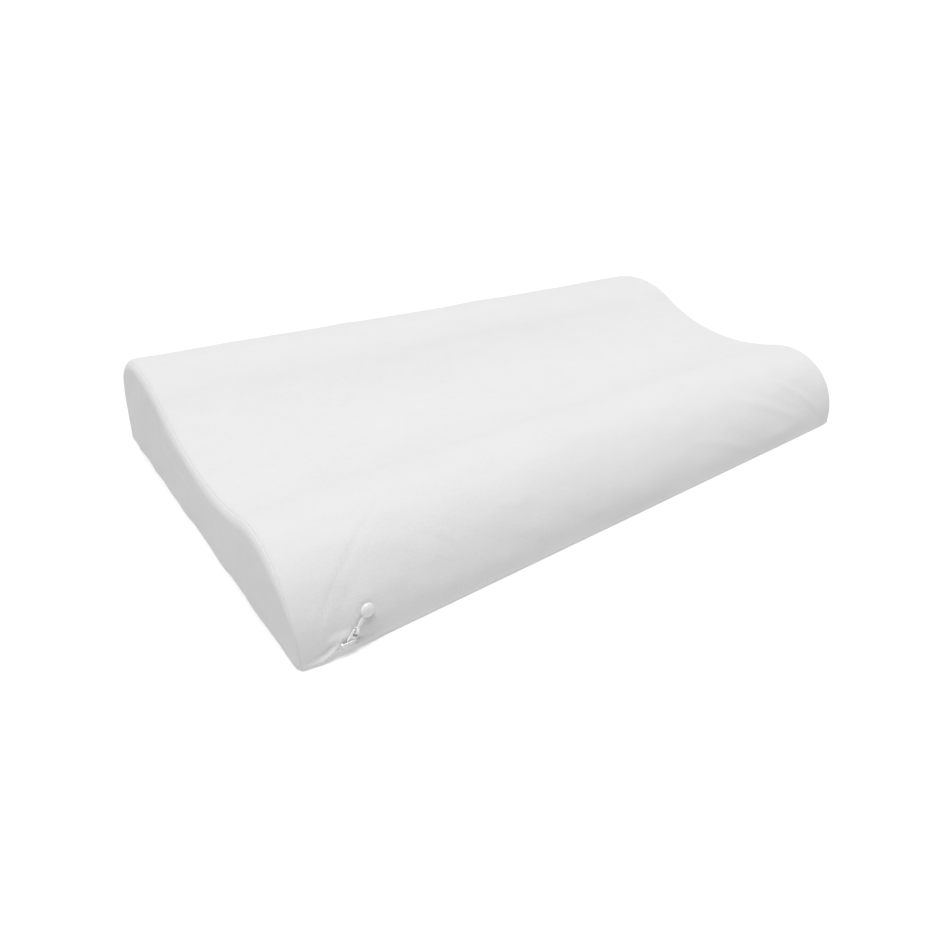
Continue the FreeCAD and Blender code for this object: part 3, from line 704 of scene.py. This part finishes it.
def pull_grip():
    """The pull: an eye round the link's bar, a thin stem and a round flattened tip."""
    distances = np.concatenate((np.linspace(1.4, 9, 16), np.linspace(9.4, 18.46, 34)))
    rings = []
    for d in distances:
        tip = math.sqrt(max(0.0, 1 - ((d - TIP_AT) / TIP_REACH) ** 2))
        stem = 1.08 + 0.34 * float(smoothstep(2.6, 5.2, d))
        stem += 0.9 * float(smoothstep(7.5, 11.5, d))
        stem *= 1 - float(smoothstep(11.5, 15, d))
        wide = (stem**3 + (TIP_HALF_WIDTH * tip) ** 3) ** (1 / 3)
        stem_thick = 0.8 * (1 - float(smoothstep(12, 15, d)))
        thick = (stem_thick**3 + (TIP_HALF_THICK * tip) ** 3) ** (1 / 3)
        ring = []
        for a in np.linspace(0, 2 * math.pi, 33):
            c, s = math.cos(a), math.sin(a)
            ca = math.copysign(abs(c) ** 0.88, c)
            sa = math.copysign(abs(s) ** 0.88, s)
            ring.append(pull_point(d, wide * ca, thick * sa))
        rings.append(ring)
    for d, where in ((18.5, len(rings)), (1.35, 0)):
        rings.insert(where, [pull_point(d)] * 33)
    grid = np.array([[tuple(p) for p in ring] for ring in rings])
    faces = grid_faces(*grid.shape[:2])
    points = [grid.reshape(-1, 3)]
    eye = []
    for a in np.linspace(0, 2 * math.pi, 37):
        ring = []
        for b in np.linspace(0, 2 * math.pi, 17):
            radius = 1.65 + 0.43 * math.cos(b)
            ring.append(tuple(pull_point(radius * math.cos(a), 1.1 * math.sin(b), radius * math.sin(a))))
        eye.append(ring)
    eye = np.array(eye)
    faces += grid_faces(*eye.shape[:2], len(points[0]))
    points.append(eye.reshape(-1, 3))
    return make_object("pull_grip", np.vstack(points), faces, weld=0.005)


# ---------------------------------------------------------------- materials


class Nodes:
    """A small helper that builds one node material."""

    def __init__(self, name):
        self.material = bpy.data.materials.new(name)
        self.material.use_nodes = True
        self.tree = self.material.node_tree
        self.shader = self.tree.nodes["Principled BSDF"]
        self.place = self.add("ShaderNodeTexCoord").outputs["Object"]

    def add(self, kind, **settings):
        node = self.tree.nodes.new(kind)
        for key, value in settings.items():
            setattr(node, key, value)
        return node

    def link(self, source, target):
        self.tree.links.new(source, target)

    def stretched(self, scale, turn=(0, 0, 0)):
        node = self.add("ShaderNodeMapping")
        node.inputs["Scale"].default_value = scale
        node.inputs["Rotation"].default_value = turn
        self.link(self.place, node.inputs["Vector"])
        return node.outputs["Vector"]

    def noise(self, scale, detail=2.0, rough=0.5, vector=None):
        node = self.add("ShaderNodeTexNoise")
        node.inputs["Scale"].default_value = scale
        node.inputs["Detail"].default_value = detail
        node.inputs["Roughness"].default_value = rough
        self.link(vector or self.place, node.inputs["Vector"])
        return node.outputs["Fac"]

    def wave(self, scale, direction, vector=None, distortion=0.0):
        node = self.add("ShaderNodeTexWave", bands_direction=direction)
        node.inputs["Scale"].default_value = scale
        node.inputs["Distortion"].default_value = distortion
        self.link(vector or self.place, node.inputs["Vector"])
        return node.outputs["Fac"]

    def maths(self, operation, a, b):
        node = self.add("ShaderNodeMath", operation=operation)
        for socket, value in zip(node.inputs, (a, b)):
            if isinstance(value, (int, float)):
                socket.default_value = value
            else:
                self.link(value, socket)
        return node.outputs[0]

    def between(self, factor, low, high):
        """A colour from low to high as the factor goes from 0 to 1."""
        node = self.add("ShaderNodeMix", data_type="RGBA")
        self.link(factor, node.inputs["Factor"])
        node.inputs["A"].default_value = (*low, 1)
        node.inputs["B"].default_value = (*high, 1)
        return node.outputs["Result"]

    def span(self, factor, low, high):
        node = self.add("ShaderNodeMapRange")
        self.link(factor, node.inputs["Value"])
        node.inputs["To Min"].default_value = low
        node.inputs["To Max"].default_value = high
        return node.outputs["Result"]

    def bumps(self, *layers):
        """Bump layers of (height, strength, distance in mm), one on top of another."""
        below = None
        for height, strength, distance in layers:
            node = self.add("ShaderNodeBump")
            node.inputs["Strength"].default_value = strength
            node.inputs["Distance"].default_value = distance * MM
            self.link(height, node.inputs["Height"])
            if below is not None:
                self.link(below, node.inputs["Normal"])
            below = node.outputs["Normal"]
        self.link(below, self.shader.inputs["Normal"])

    def set(self, **values):
        for name, value in values.items():
            socket = self.shader.inputs[name.replace("_", " ")]
            if isinstance(value, (int, float)):
                socket.default_value = value
            elif isinstance(value, tuple):
                socket.default_value = (*value, 1)
            else:
                self.link(value, socket)


def velour():
    m = Nodes("velour")
    pile = m.noise(1400, 3.0, 0.65)
    tufts = m.noise(420, 2.0, 0.6)
    brushed = m.noise(90, 3.0, 0.6, m.stretched((0.35, 1.0, 1.0), (0, 0, 0.5)))
    clouds = m.noise(14, 2.0)
    tone = m.maths("ADD", m.maths("MULTIPLY", brushed, 0.2), m.maths("MULTIPLY", clouds, 0.2))
    tone = m.maths("ADD", tone, m.maths("MULTIPLY", pile, 0.6))
    m.set(Base_Color=m.between(tone, (0.65, 0.65, 0.653), (0.79, 0.79, 0.79)))
    m.set(Roughness=m.span(tufts, 0.88, 1.0), Specular_IOR_Level=0.15)
    m.set(Sheen_Weight=0.05, Sheen_Roughness=0.45, Sheen_Tint=(1.0, 1.0, 1.0))
    m.bumps((clouds, 0.12, 1.6), (brushed, 0.15, 0.6), (tufts, 0.5, 0.4), (pile, 0.5, 0.2))
    return m.material


def knit():
    m = Nodes("liner_knit")
    wales = m.wave(330, "X", distortion=1.2)
    courses = m.wave(260, "Y", distortion=1.2)
    loops = m.maths("MULTIPLY", wales, courses)
    m.set(Base_Color=m.between(loops, (0.66, 0.66, 0.65), (0.86, 0.86, 0.85)))
    m.set(Roughness=m.span(m.noise(300), 0.85, 1.0), Sheen_Weight=0.1)
    m.bumps((loops, 0.5, 0.25))
    return m.material


def foam():
    m = Nodes("memory_foam")
    cells = m.add("ShaderNodeTexVoronoi")
    cells.inputs["Scale"].default_value = 900
    m.link(m.place, cells.inputs["Vector"])
    clouds = m.noise(30, 3.0)
    m.set(Base_Color=m.between(clouds, (0.82, 0.76, 0.58), (0.9, 0.86, 0.72)))
    m.set(Roughness=m.span(cells.outputs["Distance"], 1.0, 0.85))
    m.bumps((clouds, 0.2, 1.0), (cells.outputs["Distance"], 0.6, 0.4))
    return m.material


def tape_weave():
    """Twill that turns back on itself, as zip tape is woven."""
    m = Nodes("zip_tape_weave")
    rise = m.wave(420, "DIAGONAL", m.stretched((1, 1, 1)))
    fall = m.wave(420, "DIAGONAL", m.stretched((-1, 1, 1)))
    stripe = m.wave(120, "Z")
    side = m.maths("GREATER_THAN", stripe, 0.5)
    mixed = m.add("ShaderNodeMix", data_type="FLOAT")
    for source, name in ((side, "Factor"), (rise, "A"), (fall, "B")):
        m.link(source, mixed.inputs[name])
    twill = mixed.outputs["Result"]
    m.set(Base_Color=m.between(twill, (0.7, 0.7, 0.7), (0.87, 0.87, 0.87)))
    m.set(Roughness=m.span(m.noise(700), 0.7, 0.9), Sheen_Weight=0.15)
    m.bumps((twill, 0.6, 0.15))
    return m.material


def filament():
    m = Nodes("coil_filament")
    fine = m.noise(500, 2.0)
    m.set(Base_Color=m.between(fine, (0.8, 0.8, 0.8), (0.88, 0.88, 0.88)))
    m.set(Roughness=m.span(fine, 0.28, 0.42), Subsurface_Weight=0.1)
    m.bumps((fine, 0.1, 0.03))
    return m.material


def enamel(name, colour, rough):
    """Sprayed white enamel: a slight orange peel and a little wear in its gloss."""
    m = Nodes(name)
    peel = m.noise(1100, 1.0)
    worn = m.noise(260, 4.0, 0.65)
    duller = tuple(c * 0.95 for c in colour)
    m.set(Base_Color=m.between(worn, duller, colour))
    m.set(Roughness=m.span(worn, rough - 0.06, rough + 0.1), Coat_Weight=0.2, Coat_Roughness=0.15)
    m.bumps((peel, 0.12, 0.05), (worn, 0.08, 0.04))
    return m.material


def floor_finish():
    m = Nodes("pale_floor")
    fine = m.noise(8, 3.0)
    m.set(Base_Color=m.between(fine, (0.62, 0.62, 0.62), (0.64, 0.64, 0.64)))
    m.set(Roughness=0.9, Specular_IOR_Level=0.1)
    m.set(Emission_Color=(1.0, 1.0, 1.0), Emission_Strength=0.34)
    return m.material


def paint(obj, material):
    obj.data.materials.clear()
    obj.data.materials.append(material)


# ---------------------------------------------------------------- putting the pieces together

velour_look, knit_look, foam_look = velour(), knit(), foam()
weave_look, filament_look = tape_weave(), filament()
metal_look = enamel("zip_enamel", (0.76, 0.76, 0.76), 0.36)
pull_look = enamel("pull_enamel", (0.76, 0.76, 0.76), 0.4)

PIECES = (
    (top_panel(), "cover_top_panel", velour_look, "velour", 0.95),
    (end_panel(-1), "cover_left_end_panel", velour_look, "velour", 0.95),
    (end_panel(1), "cover_right_end_panel", velour_look, "velour", 0.95),
    (bottom_panel(), "cover_bottom_panel", velour_look, "velour", 0.95),
    (inner_form("liner_bag", LINER_INSET), "inner_liner", knit_look, "liner_knit", 1.0),
    (inner_form("foam_block", FOAM_INSET), "foam_core", foam_look, "foam", 1.0),
    (coil("zip_spiral_upper", 1), "zip_coil_upper", filament_look, "zip_coil", None),
    (coil("zip_spiral_lower", -1), "zip_coil_lower", filament_look, "zip_coil", None),
    (tape_upper(), "zip_tape_upper", weave_look, "zip_tape", None),
    (tape_lower(), "zip_tape_lower", weave_look, "zip_tape", None),
)
for piece, node, look, slot_name, fill in PIECES:
    paint(piece, look)
    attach(piece, "pillow")
    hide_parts(node)

grip = pull_grip()
paint(grip, pull_look)
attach(grip, "pull")
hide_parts("pull_tab")

for node in ("zip_slider", "pull_link", "zip_top_stops", "zip_bottom_stop"):
    part = frame["nodes"][node]
    paint(part, metal_look)
    soften = part.modifiers.new("soft_edges", "BEVEL")
    soften.width = 0.22 * MM
    soften.segments = 3
    soften.limit_method = "ANGLE"
    soften.harden_normals = False


# ---------------------------------------------------------------- floor, light and camera

CAMERA_AZIMUTH, CAMERA_ELEVATION, CAMERA_ROLL = -40.917, 29.329, 3.144  # degrees
CAMERA_TARGET = Vector((-0.0466, -0.0627, -0.0054))
CAMERA_DISTANCE = 0.62
CAMERA_LENS, CAMERA_SHIFT = 25.35, (-0.0343, -0.0068)
HORIZON_TOP, HORIZON_FADE = 0.07, 0.15  # how high the bright band reaches and fades, as a sine
HORIZON_LEVEL, SKY_LEVEL = 1.02, 0.05
SUN_WAY, SUN_STRENGTH, SUN_WIDTH = (-0.05, 0.0, 1.1), 1.12, 36  # the width in degrees


def studio_floor():
    """A pale round floor, wide enough to reach the bright horizon."""
    radii = np.array((0.0, 0.6, 1.2, 2.5, 5.0, 10.0, 20.0)) / MM
    around = np.linspace(0, 2 * math.pi, 65)
    grid = np.array([[(r * math.cos(a), r * math.sin(a), 0.0) for a in around] for r in radii])
    ground = make_object("floor", grid, grid_faces(*grid.shape[:2]))
    paint(ground, floor_finish())


def add_camera():
    """The photo's view, as found by fitting a camera to the pillow's outline."""
    a, e, r = (math.radians(v) for v in (CAMERA_AZIMUTH, CAMERA_ELEVATION, CAMERA_ROLL))
    back = Vector((math.sin(a) * math.cos(e), -math.cos(a) * math.cos(e), math.sin(e)))
    level = Vector((math.cos(a), math.sin(a), 0))
    upright = back.cross(level)
    right = level * math.cos(r) + upright * math.sin(r)
    up = upright * math.cos(r) - level * math.sin(r)
    data = bpy.data.cameras.new("camera")
    data.lens, data.sensor_width = CAMERA_LENS, 36
    data.shift_x, data.shift_y = CAMERA_SHIFT
    data.clip_start, data.clip_end = 0.01, 50
    camera = bpy.data.objects.new("camera", data)
    bpy.context.scene.collection.objects.link(camera)
    place = Matrix((right, up, back)).transposed().to_4x4()
    place.translation = CAMERA_TARGET + back * CAMERA_DISTANCE
    camera.matrix_world = place
    bpy.context.scene.camera = camera


def add_soft_sun():
    """A wide soft light far overhead."""
    data = bpy.data.lights.new("softbox", "SUN")
    data.energy = SUN_STRENGTH * math.pi
    data.angle = math.radians(SUN_WIDTH)
    light = bpy.data.objects.new("softbox", data)
    light.rotation_euler = Vector(SUN_WAY).to_track_quat("Z", "Y").to_euler()
    bpy.context.scene.collection.objects.link(light)


def add_world():
    """A studio lit from above: bright at the horizon, dim overhead, with a white backdrop."""
    world = bpy.data.worlds.new("studio")
    world.use_nodes = True
    tree = world.node_tree
    background = tree.nodes["Background"]
    place = tree.nodes.new("ShaderNodeTexCoord")
    parts = tree.nodes.new("ShaderNodeSeparateXYZ")
    tree.links.new(place.outputs["Generated"], parts.inputs["Vector"])
    fade = tree.nodes.new("ShaderNodeMapRange")
    fade.interpolation_type = "SMOOTHSTEP"
    fade.inputs["From Min"].default_value = HORIZON_TOP
    fade.inputs["From Max"].default_value = HORIZON_TOP + HORIZON_FADE
    fade.inputs["To Min"].default_value = HORIZON_LEVEL
    fade.inputs["To Max"].default_value = SKY_LEVEL
    tree.links.new(parts.outputs["Z"], fade.inputs["Value"])
    path = tree.nodes.new("ShaderNodeLightPath")
    seen = tree.nodes.new("ShaderNodeMix")
    tree.links.new(path.outputs["Is Camera Ray"], seen.inputs["Factor"])
    tree.links.new(fade.outputs["Result"], seen.inputs["A"])
    seen.inputs["B"].default_value = HORIZON_LEVEL
    tree.links.new(seen.outputs["Result"], background.inputs["Strength"])
    background.inputs["Color"].default_value = (1, 1, 1, 1)
    bpy.context.scene.world = world


studio_floor()
add_camera()
add_world()
add_soft_sun()
bpy.context.scene.view_settings.view_transform = "Standard"
